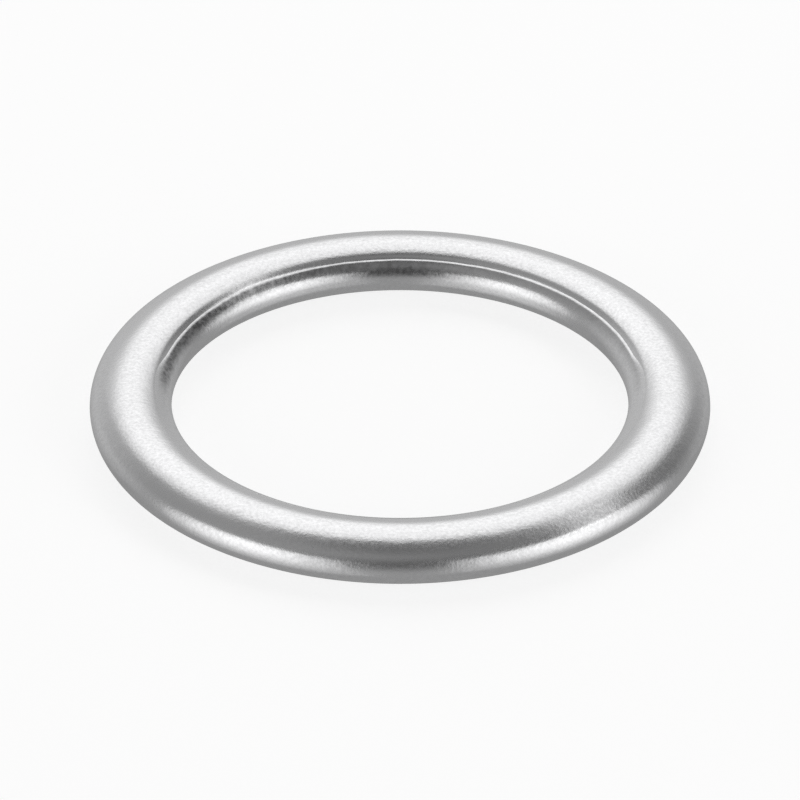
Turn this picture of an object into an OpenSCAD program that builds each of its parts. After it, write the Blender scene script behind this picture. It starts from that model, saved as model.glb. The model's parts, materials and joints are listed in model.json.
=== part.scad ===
// Drain plug washer: one ring of soft aluminium sheet, folded into a hollow oval
// section that crushes as the plug is tightened. The outer rim is a full bend.
// In the bore, the lower sheet rises as a lip and closes over the turned-in edge
// of the upper sheet, so the seam runs round the upper shoulder of the bore.
// Millimetres. The washer lies flat: Z is its axis and z = 0 is the surface under it.

/* [Ring] */
// Diameter of the bore, on the land that is pressed into it
bore_d = 16.2; // [15:0.1:17.4]
// Diameter over the outer rim
outer_d = 22; // [21:0.1:24]
// Thickness over the two crests, before the washer is crushed
thickness = 1.9; // [1.7:0.05:2.3]

/* [Section] */
// Outside radius of the bends at the rim and in the bore
bend_r = 0.7; // [0.55:0.01:0.75]
// Height pressed off each crest, which leaves the flat seating lands
crest_press = 0.01; // [0.005:0.001:0.02]
// Depth pressed off the bore, which leaves its land
bore_press = 0.015; // [0.005:0.001:0.03]

/* [Sheet and seam] */
// Thickness of the sheet
sheet = 0.3; // [0.2:0.01:0.35]
// Outside radius of the upper sheet's turned-in bend
tuck_r = 0.45; // [0.4:0.01:0.55]
// Room between the sheet in the bore and the turned-in leg
leg_room = 0.09; // [0.06:0.01:0.11]
// Depth of the leg's cut edge below the middle of the washer's thickness
leg_depth = 0.15; // [0:0.05:0.2]
// Radius that rounds over the outer corner of the lip's edge
lip_edge_r = 0.15; // [0.08:0.01:0.2]
// Thickness that the lip is pressed to at its edge
lip_edge_t = 0.1; // [0.07:0.01:0.12]
// Gap between the lip and the sheet that it closes over
lap_gap = 0.02; // [0.01:0.005:0.03]

/* [Hidden] */
$fn = 240;

bore_r = bore_d / 2;
outer_r = outer_d / 2;
half_t = thickness / 2;

// The oval that the sheet is folded to, before its lands are pressed
oval_in = bore_r - bore_press;
half_w = (outer_r - oval_in) / 2;
half_h = half_t + crest_press;
mid_r = (outer_r + oval_in) / 2;
// Its crowns are arcs that meet the bends at the rim and in the bore smoothly
crown_r = (half_w * half_w - 2 * half_w * bend_r + half_h * half_h) / (2 * (half_h - bend_r));
crown_drop = crown_r - half_h;
crown_centre = [0, -crown_drop];

// Arcs and faces that would only touch cut this far into each other
bite = 0.003;
// The turned-in bend starts at the crown's surface and ends in a straight leg
leg_face = bore_r - mid_r + sheet + leg_room;
tuck_x = leg_face + tuck_r - bite;
tuck_reach = crown_r - tuck_r + bite;
tuck_angle = acos(tuck_x / tuck_reach);
tuck_centre = from_crown(tuck_reach, tuck_angle);

// The lip's rounded edge starts at the crown's surface and stays a gap off the turned-in bend
lip_reach = crown_r - lip_edge_r + bite;
lip_off = tuck_r + lap_gap + lip_edge_t - lip_edge_r;
lip_turn = acos((tuck_reach * tuck_reach + lip_reach * lip_reach - lip_off * lip_off)
    / (2 * tuck_reach * lip_reach));
lip_angle = tuck_angle + lip_turn;
lip_centre = from_crown(lip_reach, lip_angle);

// Longer than any part of the section
far = 2 * (half_w + crown_r);

// A point at a distance from the upper crown's centre, in a direction
function from_crown(reach, angle) = crown_centre + reach * [cos(angle), sin(angle)];

// Closed oval of four arcs, inset from the outside of the sheet
module oval(inset) {
    bend = bend_r - inset;
    crown = crown_r - inset;
    bend_x = half_w - bend_r;
    // Direction of the line through both arcs' centres, where the arcs meet
    meet = [bend_x, crown_drop] / (crown_r - bend_r);
    join = [bend_x, 0] + far * meet;
    intersection() {
        translate([0, -crown_drop]) circle(r = crown);
        translate([0, crown_drop]) circle(r = crown);
        polygon([[-bend_x, 0], [-join[0], join[1]], [join[0], join[1]],
            [bend_x, 0], [join[0], -join[1]], [-join[0], -join[1]]]);
    }
    for (side = [-1, 1])
        translate([side * bend_x, 0]) circle(r = bend);
}

// The oval's outside with its flat crests and the land in the bore
module pressed_oval() {
    intersection() {
        oval(0);
        translate([bore_r - mid_r, -half_t]) square([far, thickness]);
    }
}

// All that lies behind the upper sheet's outer face, or behind that face moved in by an
// inset: below the crown, round the turned-in bend and down the leg
module behind_upper_sheet(inset) {
    translate(tuck_centre) {
        rotate(tuck_angle) translate([-far, -far]) square([2 * far, far]);
        circle(r = tuck_r - inset);
    }
    translate([leg_face + inset, tuck_centre[1] - far]) square(far);
}

// The closed hollow, down past the end of the turned-in leg
module hollow() {
    intersection() {
        oval(sheet);
        union() {
            behind_upper_sheet(sheet);
            translate([-far, -leg_depth - far]) square([2 * far, far]);
        }
    }
}

// The mouth of the seam, from the end of the upper crown to the rounded edge of the lip
module mouth() {
    difference() {
        polygon([tuck_centre, from_crown(far, tuck_angle), from_crown(far, lip_angle), lip_centre]);
        translate(lip_centre) circle(r = lip_edge_r);
    }
}

// The lap: the seam's mouth and the gap that leads from it into the hollow
module lap() {
    difference() {
        union() {
            oval(sheet);
            mouth();
            translate(tuck_centre)
                intersection() {
                    circle(r = tuck_r + lap_gap);
                    rotate(tuck_angle) square(far);
                }
            translate([leg_face - lap_gap, -leg_depth]) square([sheet, tuck_centre[1] + leg_depth]);
        }
        behind_upper_sheet(0);
    }
}

// The whole folded section, centred on its own middle
module folded_section() {
    difference() {
        pressed_oval();
        hollow();
        lap();
    }
}

module crush_washer() {
    color([0.78, 0.78, 0.79])
        rotate_extrude()
            translate([mid_r, half_t]) folded_section();
}

crush_washer();
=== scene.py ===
import json
import math

import bpy
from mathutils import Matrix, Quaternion, Vector


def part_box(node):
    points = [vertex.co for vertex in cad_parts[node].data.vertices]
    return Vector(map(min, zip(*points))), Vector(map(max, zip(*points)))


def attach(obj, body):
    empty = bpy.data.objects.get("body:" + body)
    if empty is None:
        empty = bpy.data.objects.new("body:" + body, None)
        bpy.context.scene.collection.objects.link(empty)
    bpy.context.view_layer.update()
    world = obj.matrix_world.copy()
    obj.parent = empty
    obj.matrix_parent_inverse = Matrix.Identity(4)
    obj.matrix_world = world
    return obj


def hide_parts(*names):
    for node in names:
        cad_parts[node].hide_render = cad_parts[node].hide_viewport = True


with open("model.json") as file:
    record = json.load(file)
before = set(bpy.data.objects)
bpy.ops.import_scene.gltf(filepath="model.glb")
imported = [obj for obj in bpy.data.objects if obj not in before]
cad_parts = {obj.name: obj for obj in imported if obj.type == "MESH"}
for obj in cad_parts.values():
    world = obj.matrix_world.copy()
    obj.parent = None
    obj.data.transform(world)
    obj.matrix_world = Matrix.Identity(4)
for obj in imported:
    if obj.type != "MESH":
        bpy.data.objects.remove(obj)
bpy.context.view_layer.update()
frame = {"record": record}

MM = 0.001

# The ring's own sizes, read from the frame
washer_low, washer_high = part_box("crush_washer")
bore_mount = next(m for m in frame["record"]["mounts"] if m["name"] == "bore")
OUTER_R = washer_high.x
THICKNESS = washer_high.z - washer_low.z
BORE_R = bore_mount["dims"]["r_mm"] * MM

# The fold's sizes, as the source of the part has them
BEND_R = 0.7 * MM
CREST_PRESS = 0.01 * MM
BORE_PRESS = 0.015 * MM
SHEET = 0.3 * MM
TUCK_R = 0.45 * MM
LEG_ROOM = 0.09 * MM
LEG_DEPTH = 0.15 * MM
LIP_EDGE_R = 0.15 * MM
LIP_EDGE_T = 0.1 * MM
LAP_GAP = 0.02 * MM
# Angles on either side of a crest's land and the bore's over which pressing rounds them off
CREST_SOFT = math.radians(15)
BORE_SOFT = math.radians(30)

# The oval that the sheet is folded to: two crowns and two bends, round its middle
HALF_T = THICKNESS / 2
HALF_H = HALF_T + CREST_PRESS
OVAL_IN = BORE_R - BORE_PRESS
HALF_W = (OUTER_R - OVAL_IN) / 2
MID_R = (OUTER_R + OVAL_IN) / 2
CROWN_R = (HALF_W**2 - 2 * HALF_W * BEND_R + HALF_H**2) / (2 * (HALF_H - BEND_R))
CROWN_DROP = CROWN_R - HALF_H
BEND_X = HALF_W - BEND_R

# The camera of the photograph: its distance, its elevation in degrees, how wide it frames the
# washer, the width of its sensor in millimetres, and the nearest that it sees
CAMERA_DISTANCE = 212 * MM
CAMERA_ELEVATION = 32.65
FRAME_PIXELS = 800
WASHER_PIXELS = 620
SENSOR = 36
CAMERA_NEAR = 10 * MM

# Length of one step along the sheet's arcs, and the steps round the ring
ARC_STEP = 0.065 * MM
RING_STEPS = 360
# Points nearer than this are one, and a point this near an arc lies on it
TOUCH = 0.001 * MM
# Share of the lip's rounded edge over which its points are found, a little past its end
EDGE_REACH = 1.01
# Edges sharper than this stay crisp, in degrees
SMOOTH_ANGLE = 40
# Least thickness that the lip keeps at its tip, as a share of the sheet's
THINNEST = 0.01

# How far the lip's edge strays, as waves round the ring with their shares of it
SEAM_WAVE = 0.005 * MM
SEAM_WAVES = ((17, 0.5), (31, 0.4), (53, 0.5), (89, 0.4))
# The lip's edge stands proud at the back. Between these places across the ring, as shares of
# its radius from the middle towards the back, it fades flush and its gap closes to a hair.
FADE_START = 0.26
FADE_END = 0.06
CLOSED_GAP = 0.005 * MM

# The metal's patterns: width of the rolled grain, drawn a little coarser than it is so that it
# shows, and of a soft mottle, and the length and width of the short lines that rolling leaves,
# in millimetres. The details are how many finer patterns lie in each.
GRAIN = 0.11
GRAIN_DETAIL = 1
MOTTLE = 0.7
MOTTLE_DETAIL = 2
ROLL_LINE = (1.4, 0.16)
LINE_DETAIL = 1
# How far each of them stands out of the surface
GRAIN_HEIGHT = 0.0035 * MM
MOTTLE_HEIGHT = 0.01 * MM
LINE_HEIGHT = 0.0012 * MM
# Values of the grain between which the metal goes from dull to bright, and its colour and
# roughness where it is dull and where it is bright
GRAIN_RANGE = (0.3, 0.7)
DULL_COLOUR = "F1F1F2"
DULL_ROUGHNESS = 0.3
BRIGHT_COLOUR = "FCFCFD"
BRIGHT_ROUGHNESS = 0.19
# Colour of the scores in the bore, which the painted reflection at its back shares
SCORE_AND_PAINTED_REFLECTION_COLOUR = "6F6F70"

# The marks that closing the lip scores under it in the bore, in millimetres: their width round
# the ring and their length up the wall, and the values of their pattern between which a mark
# goes from its faintest to its darkest
MARK_WIDTH = 0.17
MARK_LENGTH = 0.11
MARK_DETAIL = 2
MARK_RANGE = (0.35, 0.65)
FAINTEST_MARK = 0.5
# The length over which the marks' lower border strays, and how far it strays
BORDER_WAVE = 0.6
BORDER_STRAY = 0.14
BORDER_DETAIL = 3
# Height of that border at the right and at the left of the ring, and the height over which the
# marks set in above it, from the surface that the washer lies on
BORDER_RIGHT = 1.38
BORDER_LEFT = 1.24
BORDER_SOFT = 0.26
# The wall is scored most on the left: where that sets in and where it is full, across the
# washer, and the marks' strength at the right and at the left
RIGHT_TO_LEFT = (2, -6.5)
STRENGTH_RIGHT = 0.35
STRENGTH_LEFT = 0.8
# Places towards the back between which the marks set in, and radii between which they stop at
# the lip's edge
FRONT_TO_BACK = (-0.7, 0.9)
EDGE_TO_BORE = (8.6, 8.43)
# The darkest patch, at the middle of the back, is a painted reflection of the dark room behind
# the camera: its half width, its half height, the height of its middle above the surface that
# the washer lies on, and how dark it is
PATCH_WIDTH = 3.8
PATCH_HEIGHT = 0.3
PATCH_MIDDLE = 1.31
PAINTED_REFLECTION_DARK = 0.75

# Numbers of a colour Mix node's sockets, whose names are those of its other kinds too
COLOUR_A = 6
COLOUR_B = 7
COLOUR_RESULT = 2

# The room's brightness at the left, at the right, behind the camera, overhead and low down,
# and as the camera itself sees it
ROOM_LEFT = 0.26
ROOM_RIGHT = 0.14
ROOM_BEHIND_CAMERA = 0.06
ROOM_OVERHEAD = 0.12
ROOM_LOW = 0.29
ROOM_SEEN = 0.93
# Where each passes into the next, along a direction of the length 1: from left to right, from
# behind the camera to the sides, up to overhead, and down to low
LEFT_TO_RIGHT = (-0.7, 0.7)
CAMERA_TO_SIDES = (-1.14, -0.36)
UP_TO_OVERHEAD = (0.94, 1)
DOWN_TO_LOW = (0.5, -0.52)

# The softboxes: one behind, one at each side, a strip light over the right one and a backdrop,
# and how far off they stand. Each has its place, an azimuth and an elevation, its size, a width
# and a height as angles of view, and its roll, in degrees. Its glow falls from the first value
# to the second between two distances from its lamp, which hangs half way across it. Those and
# the lamp's height are shares of its own size.
LIGHT_DISTANCE = 500 * MM
HALF_WAY = 0.5
SOFTBOXES = {
    "back_softbox": {
        "towards": (1, 46),
        "size": (65, 59),
        "glow": (0.77, 0.08),
        "spread": (0.23, 0.63),
        "lamp_height": 0.59,
    },
    "left_softbox": {
        "towards": (-128, -10),
        "size": (70, 87),
        "glow": (0.94, 0.15),
        "spread": (0, 0.68),
        "lamp_height": 0.74,
    },
    "right_softbox": {
        "towards": (120, -3),
        "size": (84, 83),
        "glow": (1, 0.12),
        "spread": (0, 0.68),
        "lamp_height": 0.73,
    },
    "strip_light": {
        "towards": (88, 47),
        "size": (47, 14),
        "glow": (0.56, 0.56),
        "spread": (0, 0.7),
        "roll": 43,
    },
    "backdrop": {
        "towards": (-9, 5),
        "size": (144, 84),
        "glow": (0.22, 0.06),
        "spread": (0, 0.5),
    },
}

# The floor: how wide it is, and its matt surface, which glows so that it stays nearly white
FLOOR_SIZE = 2000 * MM
FLOOR_COLOUR = "BCBCBC"
FLOOR_ROUGHNESS = 0.9
FLOOR_GLOW_COLOUR = "FFFFFF"
FLOOR_GLOW = 0.75


def linear(hex_colour):
    """An sRGB hex colour as linear red, green, blue and alpha."""
    parts = [int(hex_colour[i : i + 2], 16) / 255 for i in (0, 2, 4)]
    return [p / 12.92 if p <= 0.04045 else ((p + 0.055) / 1.055) ** 2.4 for p in parts] + [1]


def add_node(tree, kind, settings=None, inputs=None):
    """Adds a node, sets its properties, and fills or links its inputs by name or number."""
    made = tree.nodes.new(kind)
    for name, value in (settings or {}).items():
        setattr(made, name, value)
    for name, value in (inputs or {}).items():
        if isinstance(value, bpy.types.NodeSocket):
            tree.links.new(value, made.inputs[name])
        else:
            made.inputs[name].default_value = value
    return made


def smooth_step(share):
    """A share from 0 to 1, eased at both ends."""
    share = min(1, max(0, share))
    return share * share * (3 - 2 * share)


def from_crown(reach, angle):
    """A point of the section at a distance and an angle from the upper crown's centre."""
    return reach * math.cos(angle), reach * math.sin(angle) - CROWN_DROP


# Where the upper sheet turns in, and where the lip's rounded edge ends over it
LEG_FACE = BORE_R - MID_R + SHEET + LEG_ROOM
TUCK_REACH = CROWN_R - TUCK_R
TUCK_ANGLE = math.acos((LEG_FACE + TUCK_R) / TUCK_REACH)
TUCK_X, TUCK_Z = from_crown(TUCK_REACH, TUCK_ANGLE)
LIP_REACH = CROWN_R - LIP_EDGE_R
LIP_OFF = TUCK_R + LAP_GAP + LIP_EDGE_T - LIP_EDGE_R
LIP_TURN = math.acos((TUCK_REACH**2 + LIP_REACH**2 - LIP_OFF**2) / (2 * TUCK_REACH * LIP_REACH))
LIP_ANGLE = TUCK_ANGLE + LIP_TURN
LIP_X, LIP_Z = from_crown(LIP_REACH, LIP_ANGLE)
# Angle that the rounded edge turns through before it meets the gap under it
GAP_R = TUCK_R + LAP_GAP
LIP_ROUND = LIP_ANGLE - math.atan2(TUCK_Z - LIP_Z, TUCK_X - LIP_X) - math.acos(
    (LIP_OFF**2 + LIP_EDGE_R**2 - GAP_R**2) / (2 * LIP_OFF * LIP_EDGE_R)
)
# Where a lip that is pressed flush with the crown ends, over a closed gap
CLOSED_R = TUCK_R + CLOSED_GAP
FLUSH_ANGLE = TUCK_ANGLE + math.acos(
    (TUCK_REACH**2 + CROWN_R**2 - CLOSED_R**2) / (2 * TUCK_REACH * CROWN_R)
)


def add_camera():
    """The photograph's camera, which looks down on the washer's middle."""
    elevation = math.radians(CAMERA_ELEVATION)
    data = bpy.data.cameras.new("camera")
    data.sensor_width = SENSOR
    data.lens = SENSOR * CAMERA_DISTANCE * WASHER_PIXELS / (2 * OUTER_R * FRAME_PIXELS)
    data.clip_start = CAMERA_NEAR
    camera = bpy.data.objects.new("camera", data)
    bpy.context.scene.collection.objects.link(camera)
    camera.location = (
        0,
        -CAMERA_DISTANCE * math.cos(elevation),
        HALF_T + CAMERA_DISTANCE * math.sin(elevation),
    )
    camera.rotation_euler = (math.pi / 2 - elevation, 0, 0)
    bpy.context.scene.camera = camera


def run_straight(length, angle):
    """Draws the sheet's face line on, straight, in a direction of the section's plane."""
    step = (length * math.cos(angle), 0, length * math.sin(angle))
    bpy.ops.mesh.extrude_region_move(TRANSFORM_OT_translate={"value": step})


def run_arc(x, z, radius, start, end):
    """Draws the sheet's face line on, round a centre of the section, from angle to angle."""
    steps = max(2, round(radius * abs(end - start) / ARC_STEP))
    bpy.ops.mesh.spin(
        steps=steps, angle=end - start, center=(MID_R + x, 0, HALF_T + z), axis=(0, 1, 0)
    )


def run_pressed_arc(x, z, radius, start, end, middle, press, soft):
    """Draws an arc whose middle is pressed flat by a depth, and softly rounded beside that."""
    tighter = press / (1 - math.cos(soft))
    before, after = middle + soft, middle - soft
    run_arc(x, z, radius, start, before)
    in_x, in_z = x + tighter * math.cos(before), z + tighter * math.sin(before)
    run_arc(in_x, in_z, radius - tighter, before, middle)
    run_straight(2 * tighter * math.sin(soft), middle - math.pi / 2)
    in_x, in_z = x + tighter * math.cos(after), z + tighter * math.sin(after)
    run_arc(in_x, in_z, radius - tighter, middle, after)
    run_arc(x, z, radius, after, end)


def draw_sheet_line():
    """The outer face of the folded sheet as one line, from the leg's cut edge to the lip's tip."""
    bpy.ops.object.select_all(action="DESELECT")
    bpy.ops.mesh.primitive_plane_add(size=MM)
    washer = bpy.context.object
    bpy.ops.object.mode_set(mode="EDIT")
    # The plane is merged to the one point that the line starts from
    bpy.ops.mesh.merge(type="CENTER")
    bpy.ops.transform.translate(value=(MID_R + LEG_FACE, 0, HALF_T - LEG_DEPTH))
    half, turn = math.pi / 2, math.pi
    join = math.atan2(CROWN_DROP, BEND_X)
    crown = (0, -CROWN_DROP, CROWN_R)
    under = (0, CROWN_DROP, CROWN_R)
    run_straight(LEG_DEPTH + TUCK_Z, half)
    run_arc(TUCK_X, TUCK_Z, TUCK_R, turn, TUCK_ANGLE)
    run_pressed_arc(*crown, TUCK_ANGLE, join, half, CREST_PRESS, CREST_SOFT)
    run_arc(BEND_X, 0, BEND_R, join, -join)
    run_pressed_arc(*under, -join, join - turn, -half, CREST_PRESS, CREST_SOFT)
    run_pressed_arc(-BEND_X, 0, BEND_R, join - turn, -join - turn, -turn, BORE_PRESS, BORE_SOFT)
    run_arc(*crown, turn - join, LIP_ANGLE)
    run_arc(LIP_X, LIP_Z, LIP_EDGE_R, LIP_ANGLE, LIP_ANGLE - LIP_ROUND)
    return washer


def flushness(point):
    """How far the lip is pressed flush and its gap closed at a point, from 0 to 1."""
    across = point.y / math.hypot(point.x, point.y)
    return smooth_step((FADE_START - across) / (FADE_START - FADE_END))


def lip_thickness(point, normal):
    """Thickness that leaves the gap between the lip and the turned-in bend behind it."""
    r = math.hypot(point.x, point.y)
    x = r - MID_R - TUCK_X
    z = point.z - HALF_T - TUCK_Z
    gap_r = GAP_R + flushness(point) * (CLOSED_R - GAP_R)
    along = x * (point.x * normal.x + point.y * normal.y) / r + z * normal.z
    inside = along**2 - (x * x + z * z - gap_r**2)
    if inside < 0:
        return SHEET
    return min(SHEET, max(0, along - math.sqrt(inside)))


def lip_wave(angle):
    """How far the lip's edge strays along the seam at an angle round the washer."""
    waves = sum(share * math.sin(count * angle + count) for count, share in SEAM_WAVES)
    return SEAM_WAVE * waves


def close_lip(washer):
    """Lets the lip's edge stray a little, and presses it flush with the crown at the front."""
    for v in washer.data.vertices:
        r = math.hypot(v.co.x, v.co.y)
        x, z = r - MID_R, v.co.z - HALF_T
        turned = LIP_ANGLE - math.atan2(z - LIP_Z, x - LIP_X)
        on_edge = abs(math.hypot(x - LIP_X, z - LIP_Z) - LIP_EDGE_R) < TOUCH
        if not on_edge or not 0 < turned < EDGE_REACH * LIP_ROUND:
            continue
        along = turned / LIP_ROUND
        flush_x, flush_z = from_crown(CROWN_R, LIP_ANGLE + along * (FLUSH_ANGLE - LIP_ANGLE))
        flush = flushness(v.co)
        x += flush * (flush_x - x)
        z += flush * (flush_z - z)
        slide = along * (1 - flush) * lip_wave(math.atan2(v.co.y, v.co.x)) / TUCK_R
        off_x, off_z = x - TUCK_X, z - TUCK_Z
        x = TUCK_X + off_x * math.cos(slide) - off_z * math.sin(slide)
        z = TUCK_Z + off_x * math.sin(slide) + off_z * math.cos(slide)
        v.co.x *= (MID_R + x) / r
        v.co.y *= (MID_R + x) / r
        v.co.z = HALF_T + z
    washer.data.update()


def make_washer():
    """The folded sheet: its face line spun round the axis and given the sheet's thickness."""
    washer = draw_sheet_line()
    bpy.ops.mesh.select_all(action="SELECT")
    bpy.ops.mesh.spin(steps=RING_STEPS, angle=2 * math.pi, center=(0, 0, 0), axis=(0, 0, 1))
    bpy.ops.mesh.select_all(action="SELECT")
    bpy.ops.mesh.remove_doubles(threshold=TOUCH)
    bpy.ops.mesh.normals_make_consistent(inside=False)
    bpy.ops.object.mode_set(mode="OBJECT")
    washer.name = "washer"
    washer.data.name = "washer"
    close_lip(washer)
    wall = washer.vertex_groups.new(name="wall")
    for v in washer.data.vertices:
        wall.add([v.index], max(THINNEST, lip_thickness(v.co, v.normal) / SHEET), "REPLACE")
    solidify = washer.modifiers.new("sheet", "SOLIDIFY")
    solidify.thickness = SHEET
    # All of the thickness lies behind the drawn face
    solidify.offset = -1
    solidify.vertex_group = "wall"
    bpy.ops.object.modifier_apply(modifier="sheet")
    bpy.ops.object.shade_smooth_by_angle(angle=math.radians(SMOOTH_ANGLE))
    # The bore mirrors the studio alone, not the ring's own far side
    washer.visible_glossy = False
    return washer


def scores_and_painted_reflection(tree, in_mm):
    """How dark the bore is: scored by short marks under the lip, and darker in one patch at the
    back, a painted reflection of the dark room behind the camera.
    """
    place = add_node(tree, "ShaderNodeSeparateXYZ", inputs={"Vector": in_mm}).outputs
    flat = add_node(
        tree, "ShaderNodeCombineXYZ", inputs={"X": place["X"], "Y": place["Y"]}
    ).outputs["Vector"]
    radius = add_node(
        tree, "ShaderNodeVectorMath", {"operation": "LENGTH"}, {0: flat}
    ).outputs["Value"]
    outward = add_node(
        tree, "ShaderNodeVectorMath", {"operation": "NORMALIZE"}, {0: flat}
    ).outputs["Vector"]
    height = add_node(
        tree, "ShaderNodeCombineXYZ", inputs={"Z": place["Z"]}
    ).outputs["Vector"]
    round_ring = add_node(
        tree,
        "ShaderNodeVectorMath",
        {"operation": "SCALE"},
        {0: outward, "Scale": BORE_R / MM / MARK_WIDTH},
    ).outputs["Vector"]
    unrolled = add_node(
        tree,
        "ShaderNodeVectorMath",
        {"operation": "MULTIPLY_ADD"},
        {0: height, 1: (1 / MARK_LENGTH,) * 3, 2: round_ring},
    ).outputs["Vector"]
    marks = add_node(
        tree, "ShaderNodeTexNoise", inputs={"Vector": unrolled, "Scale": 1, "Detail": MARK_DETAIL}
    ).outputs["Fac"]
    wave = add_node(
        tree,
        "ShaderNodeTexNoise",
        inputs={"Vector": in_mm, "Scale": 1 / BORDER_WAVE, "Detail": BORDER_DETAIL},
    ).outputs["Fac"]
    ragged = add_node(
        tree,
        "ShaderNodeMath",
        {"operation": "MULTIPLY_ADD"},
        {0: wave, 1: 2 * BORDER_STRAY, 2: place["Z"]},
    ).outputs["Value"]
    # The wave is a half on average, so the border is set higher by as much as it strays
    right, left = RIGHT_TO_LEFT
    to_left = add_node(
        tree,
        "ShaderNodeMapRange",
        {"interpolation_type": "SMOOTHSTEP"},
        {"Value": place["X"], "From Min": right, "From Max": left},
    ).outputs["Result"]
    border = add_node(
        tree,
        "ShaderNodeMapRange",
        inputs={
            "Value": to_left,
            "To Min": BORDER_RIGHT + BORDER_STRAY,
            "To Max": BORDER_LEFT + BORDER_STRAY,
        },
    ).outputs["Result"]
    above = add_node(
        tree, "ShaderNodeMath", {"operation": "SUBTRACT"}, {0: ragged, 1: border}
    ).outputs["Value"]
    high = add_node(
        tree,
        "ShaderNodeMapRange",
        {"interpolation_type": "SMOOTHSTEP"},
        {"Value": above, "From Min": 0, "From Max": BORDER_SOFT},
    ).outputs["Result"]
    strength = add_node(
        tree,
        "ShaderNodeMapRange",
        inputs={"Value": to_left, "To Min": STRENGTH_RIGHT, "To Max": STRENGTH_LEFT},
    ).outputs["Result"]
    darkened = add_node(
        tree, "ShaderNodeMath", {"operation": "MULTIPLY"}, {0: high, 1: strength}
    ).outputs["Value"]
    # The patch is a painted reflection: the dark room behind the camera, painted into the middle
    # of the back of the bore
    off_patch = add_node(
        tree,
        "ShaderNodeMapping",
        inputs={
            "Vector": in_mm,
            "Location": (0, 0, -PATCH_MIDDLE / PATCH_HEIGHT),
            "Scale": (1 / PATCH_WIDTH, 0, 1 / PATCH_HEIGHT),
        },
    ).outputs["Vector"]
    out_of_patch = add_node(
        tree, "ShaderNodeVectorMath", {"operation": "LENGTH"}, {0: off_patch}
    ).outputs["Value"]
    painted_reflection = add_node(
        tree,
        "ShaderNodeMapRange",
        {"interpolation_type": "SMOOTHSTEP"},
        {"Value": out_of_patch, "From Min": 1, "From Max": 0, "To Max": PAINTED_REFLECTION_DARK},
    ).outputs["Result"]
    edge, bore = EDGE_TO_BORE
    on_bore = add_node(
        tree, "ShaderNodeMapRange", inputs={"Value": radius, "From Min": edge, "From Max": bore}
    ).outputs["Result"]
    front, back = FRONT_TO_BACK
    to_back = add_node(
        tree,
        "ShaderNodeMapRange",
        {"interpolation_type": "SMOOTHSTEP"},
        {"Value": place["Y"], "From Min": front, "From Max": back},
    ).outputs["Result"]
    faint, full = MARK_RANGE
    depth = add_node(
        tree,
        "ShaderNodeMapRange",
        inputs={"Value": marks, "From Min": faint, "From Max": full, "To Min": FAINTEST_MARK},
    ).outputs["Result"]
    share = add_node(
        tree, "ShaderNodeMath", {"operation": "ADD", "use_clamp": True}, {0: darkened, 1: painted_reflection}
    ).outputs["Value"]
    for part in (on_bore, to_back, depth):
        share = add_node(
            tree, "ShaderNodeMath", {"operation": "MULTIPLY"}, {0: share, 1: part}
        ).outputs["Value"]
    return share


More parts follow.
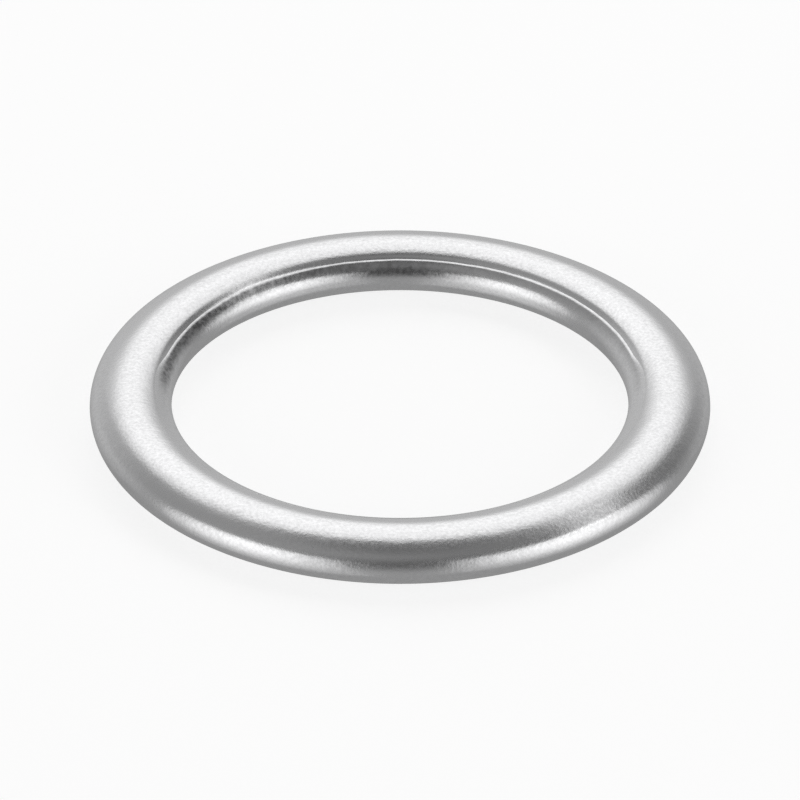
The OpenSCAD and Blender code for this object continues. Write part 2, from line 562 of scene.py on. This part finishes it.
def satin_aluminium():
    """
    Soft aluminium sheet, rolled and then burnished as it was folded. It gives a bright neutral
    grey with soft-edged reflections, a fine silvery grain, dull scores where it was closed, and a
    painted reflection of the dark room behind the camera at the back of the bore.
    """
    material = bpy.data.materials.new("satin_aluminium")
    material.use_nodes = True
    tree = material.node_tree
    tree.nodes.clear()
    place = add_node(tree, "ShaderNodeTexCoord").outputs["Object"]
    in_mm = add_node(tree, "ShaderNodeMapping", inputs={"Vector": place, "Scale": (1 / MM,) * 3})
    in_mm = in_mm.outputs["Vector"]
    mottle = add_node(
        tree,
        "ShaderNodeTexNoise",
        inputs={"Vector": in_mm, "Scale": 1 / MOTTLE, "Detail": MOTTLE_DETAIL},
    ).outputs["Fac"]
    grain = add_node(
        tree,
        "ShaderNodeTexNoise",
        inputs={"Vector": in_mm, "Scale": 1 / GRAIN, "Detail": GRAIN_DETAIL},
    ).outputs["Fac"]
    along_x, across_y = ROLL_LINE
    stretched = add_node(
        tree,
        "ShaderNodeMapping",
        inputs={"Vector": in_mm, "Scale": (1 / along_x, 1 / across_y, 1 / along_x)},
    ).outputs["Vector"]
    lines = add_node(
        tree, "ShaderNodeTexNoise", inputs={"Vector": stretched, "Scale": 1, "Detail": LINE_DETAIL}
    ).outputs["Fac"]
    dull, bright = GRAIN_RANGE
    speckle = add_node(
        tree, "ShaderNodeMapRange", inputs={"Value": grain, "From Min": dull, "From Max": bright}
    ).outputs["Result"]
    rolled_colour = add_node(
        tree,
        "ShaderNodeMix",
        {"data_type": "RGBA"},
        {"Factor": speckle, COLOUR_A: linear(DULL_COLOUR), COLOUR_B: linear(BRIGHT_COLOUR)},
    ).outputs[COLOUR_RESULT]
    # Scores under the lip, with a painted reflection of the dark room behind the camera at the
    # back of the bore
    darkened = scores_and_painted_reflection(tree, in_mm)
    colour = add_node(
        tree,
        "ShaderNodeMix",
        {"data_type": "RGBA"},
        {"Factor": darkened, COLOUR_A: rolled_colour, COLOUR_B: linear(SCORE_AND_PAINTED_REFLECTION_COLOUR)},
    ).outputs[COLOUR_RESULT]
    roughness = add_node(
        tree,
        "ShaderNodeMapRange",
        inputs={"Value": speckle, "To Min": DULL_ROUGHNESS, "To Max": BRIGHT_ROUGHNESS},
    ).outputs["Result"]
    soft = add_node(
        tree, "ShaderNodeBump", inputs={"Height": mottle, "Strength": 1, "Distance": MOTTLE_HEIGHT}
    ).outputs["Normal"]
    rolled = add_node(
        tree,
        "ShaderNodeBump",
        inputs={"Height": lines, "Strength": 1, "Distance": LINE_HEIGHT, "Normal": soft},
    ).outputs["Normal"]
    bump = add_node(
        tree,
        "ShaderNodeBump",
        inputs={"Height": grain, "Strength": 1, "Distance": GRAIN_HEIGHT, "Normal": rolled},
    ).outputs["Normal"]
    shader = add_node(
        tree,
        "ShaderNodeBsdfPrincipled",
        inputs={"Base Color": colour, "Metallic": 1, "Roughness": roughness, "Normal": bump},
    ).outputs["BSDF"]
    add_node(tree, "ShaderNodeOutputMaterial", inputs={"Surface": shader})
    return material


def direction(azimuth, elevation):
    """Unit vector: azimuth 0 is behind the washer and grows to the right, in degrees."""
    a, e = math.radians(azimuth), math.radians(elevation)
    return Vector((math.sin(a) * math.cos(e), math.cos(a) * math.cos(e), math.sin(e)))


def add_softbox(name, towards, size, glow, spread, lamp_height=HALF_WAY, roll=0):
    """A softbox that faces the washer and that the camera doesn't see."""
    data = bpy.data.lights.new(name, "AREA")
    data.shape = "RECTANGLE"
    data.size, data.size_y = (2 * LIGHT_DISTANCE * math.tan(math.radians(a) / 2) for a in size)
    # At this power a strength of 1 in the shader is a radiance of 1
    data.energy = math.pi * data.size * data.size_y
    data.use_nodes = True
    tree = data.node_tree
    tree.nodes.clear()
    across = add_node(tree, "ShaderNodeNewGeometry").outputs["Parametric"]
    off_lamp = add_node(
        tree,
        "ShaderNodeVectorMath",
        {"operation": "DISTANCE"},
        {0: across, 1: (HALF_WAY, lamp_height, 0)},
    ).outputs["Value"]
    near, far = spread
    bright, dim = glow
    strength = add_node(
        tree,
        "ShaderNodeMapRange",
        {"interpolation_type": "SMOOTHSTEP"},
        {"Value": off_lamp, "From Min": near, "From Max": far, "To Min": bright, "To Max": dim},
    ).outputs["Result"]
    shader = add_node(tree, "ShaderNodeEmission", inputs={"Strength": strength})
    add_node(tree, "ShaderNodeOutputLight", inputs={"Surface": shader.outputs["Emission"]})
    box = bpy.data.objects.new(name, data)
    bpy.context.scene.collection.objects.link(box)
    outward = direction(*towards)
    box.location = outward * LIGHT_DISTANCE
    turned = outward.to_track_quat("Z", "Y") @ Quaternion((0, 0, 1), math.radians(roll))
    box.rotation_euler = turned.to_euler()
    box.visible_camera = False


def add_room():
    """The grey room that the metal reflects, dark behind the camera, and pale to the camera."""
    world = bpy.data.worlds.new("room")
    world.use_nodes = True
    tree = world.node_tree
    tree.nodes.clear()
    place = add_node(tree, "ShaderNodeTexCoord").outputs["Generated"]
    parts = add_node(tree, "ShaderNodeSeparateXYZ", inputs={"Vector": place}).outputs
    left, right = LEFT_TO_RIGHT
    sides = add_node(
        tree,
        "ShaderNodeMapRange",
        {"interpolation_type": "SMOOTHSTEP"},
        {
            "Value": parts["X"],
            "From Min": left,
            "From Max": right,
            "To Min": ROOM_LEFT,
            "To Max": ROOM_RIGHT,
        },
    ).outputs["Result"]
    behind, beside = CAMERA_TO_SIDES
    room = add_node(
        tree,
        "ShaderNodeMapRange",
        {"interpolation_type": "SMOOTHSTEP"},
        {
            "Value": parts["Y"],
            "From Min": behind,
            "From Max": beside,
            "To Min": ROOM_BEHIND_CAMERA,
            "To Max": sides,
        },
    ).outputs["Result"]
    for (start, end), brightness in ((UP_TO_OVERHEAD, ROOM_OVERHEAD), (DOWN_TO_LOW, ROOM_LOW)):
        share = add_node(
            tree,
            "ShaderNodeMapRange",
            {"interpolation_type": "SMOOTHSTEP"},
            {"Value": parts["Z"], "From Min": start, "From Max": end},
        ).outputs["Result"]
        room = add_node(
            tree,
            "ShaderNodeMix",
            {"data_type": "FLOAT"},
            {"Factor": share, "A": room, "B": brightness},
        ).outputs["Result"]
    seen = add_node(tree, "ShaderNodeLightPath").outputs["Is Camera Ray"]
    colour = add_node(
        tree, "ShaderNodeMix", {"data_type": "FLOAT"}, {"Factor": seen, "A": room, "B": ROOM_SEEN}
    ).outputs["Result"]
    shader = add_node(tree, "ShaderNodeBackground", inputs={"Color": colour}).outputs["Background"]
    add_node(tree, "ShaderNodeOutputWorld", inputs={"Surface": shader})
    bpy.context.scene.world = world


def add_floor():
    """A plain pale floor, which the metal doesn't reflect, as in a cut-out product picture."""
    bpy.ops.object.select_all(action="DESELECT")
    bpy.ops.mesh.primitive_plane_add(size=FLOOR_SIZE)
    floor = bpy.context.object
    floor.name = "floor"
    floor.visible_glossy = False
    material = bpy.data.materials.new("white_table")
    material.use_nodes = True
    tree = material.node_tree
    tree.nodes.clear()
    shader = add_node(
        tree,
        "ShaderNodeBsdfPrincipled",
        inputs={
            "Base Color": linear(FLOOR_COLOUR),
            "Roughness": FLOOR_ROUGHNESS,
            "Specular IOR Level": 0,
            "Emission Color": linear(FLOOR_GLOW_COLOUR),
            "Emission Strength": FLOOR_GLOW,
        },
    ).outputs["BSDF"]
    add_node(tree, "ShaderNodeOutputMaterial", inputs={"Surface": shader})
    floor.data.materials.append(material)


add_camera()
washer = make_washer()
washer.data.materials.append(satin_aluminium())
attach(washer, "root")
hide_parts("crush_washer")
add_room()
for name, settings in SOFTBOXES.items():
    add_softbox(name, **settings)
add_floor()
bpy.context.scene.view_settings.view_transform = "Standard"
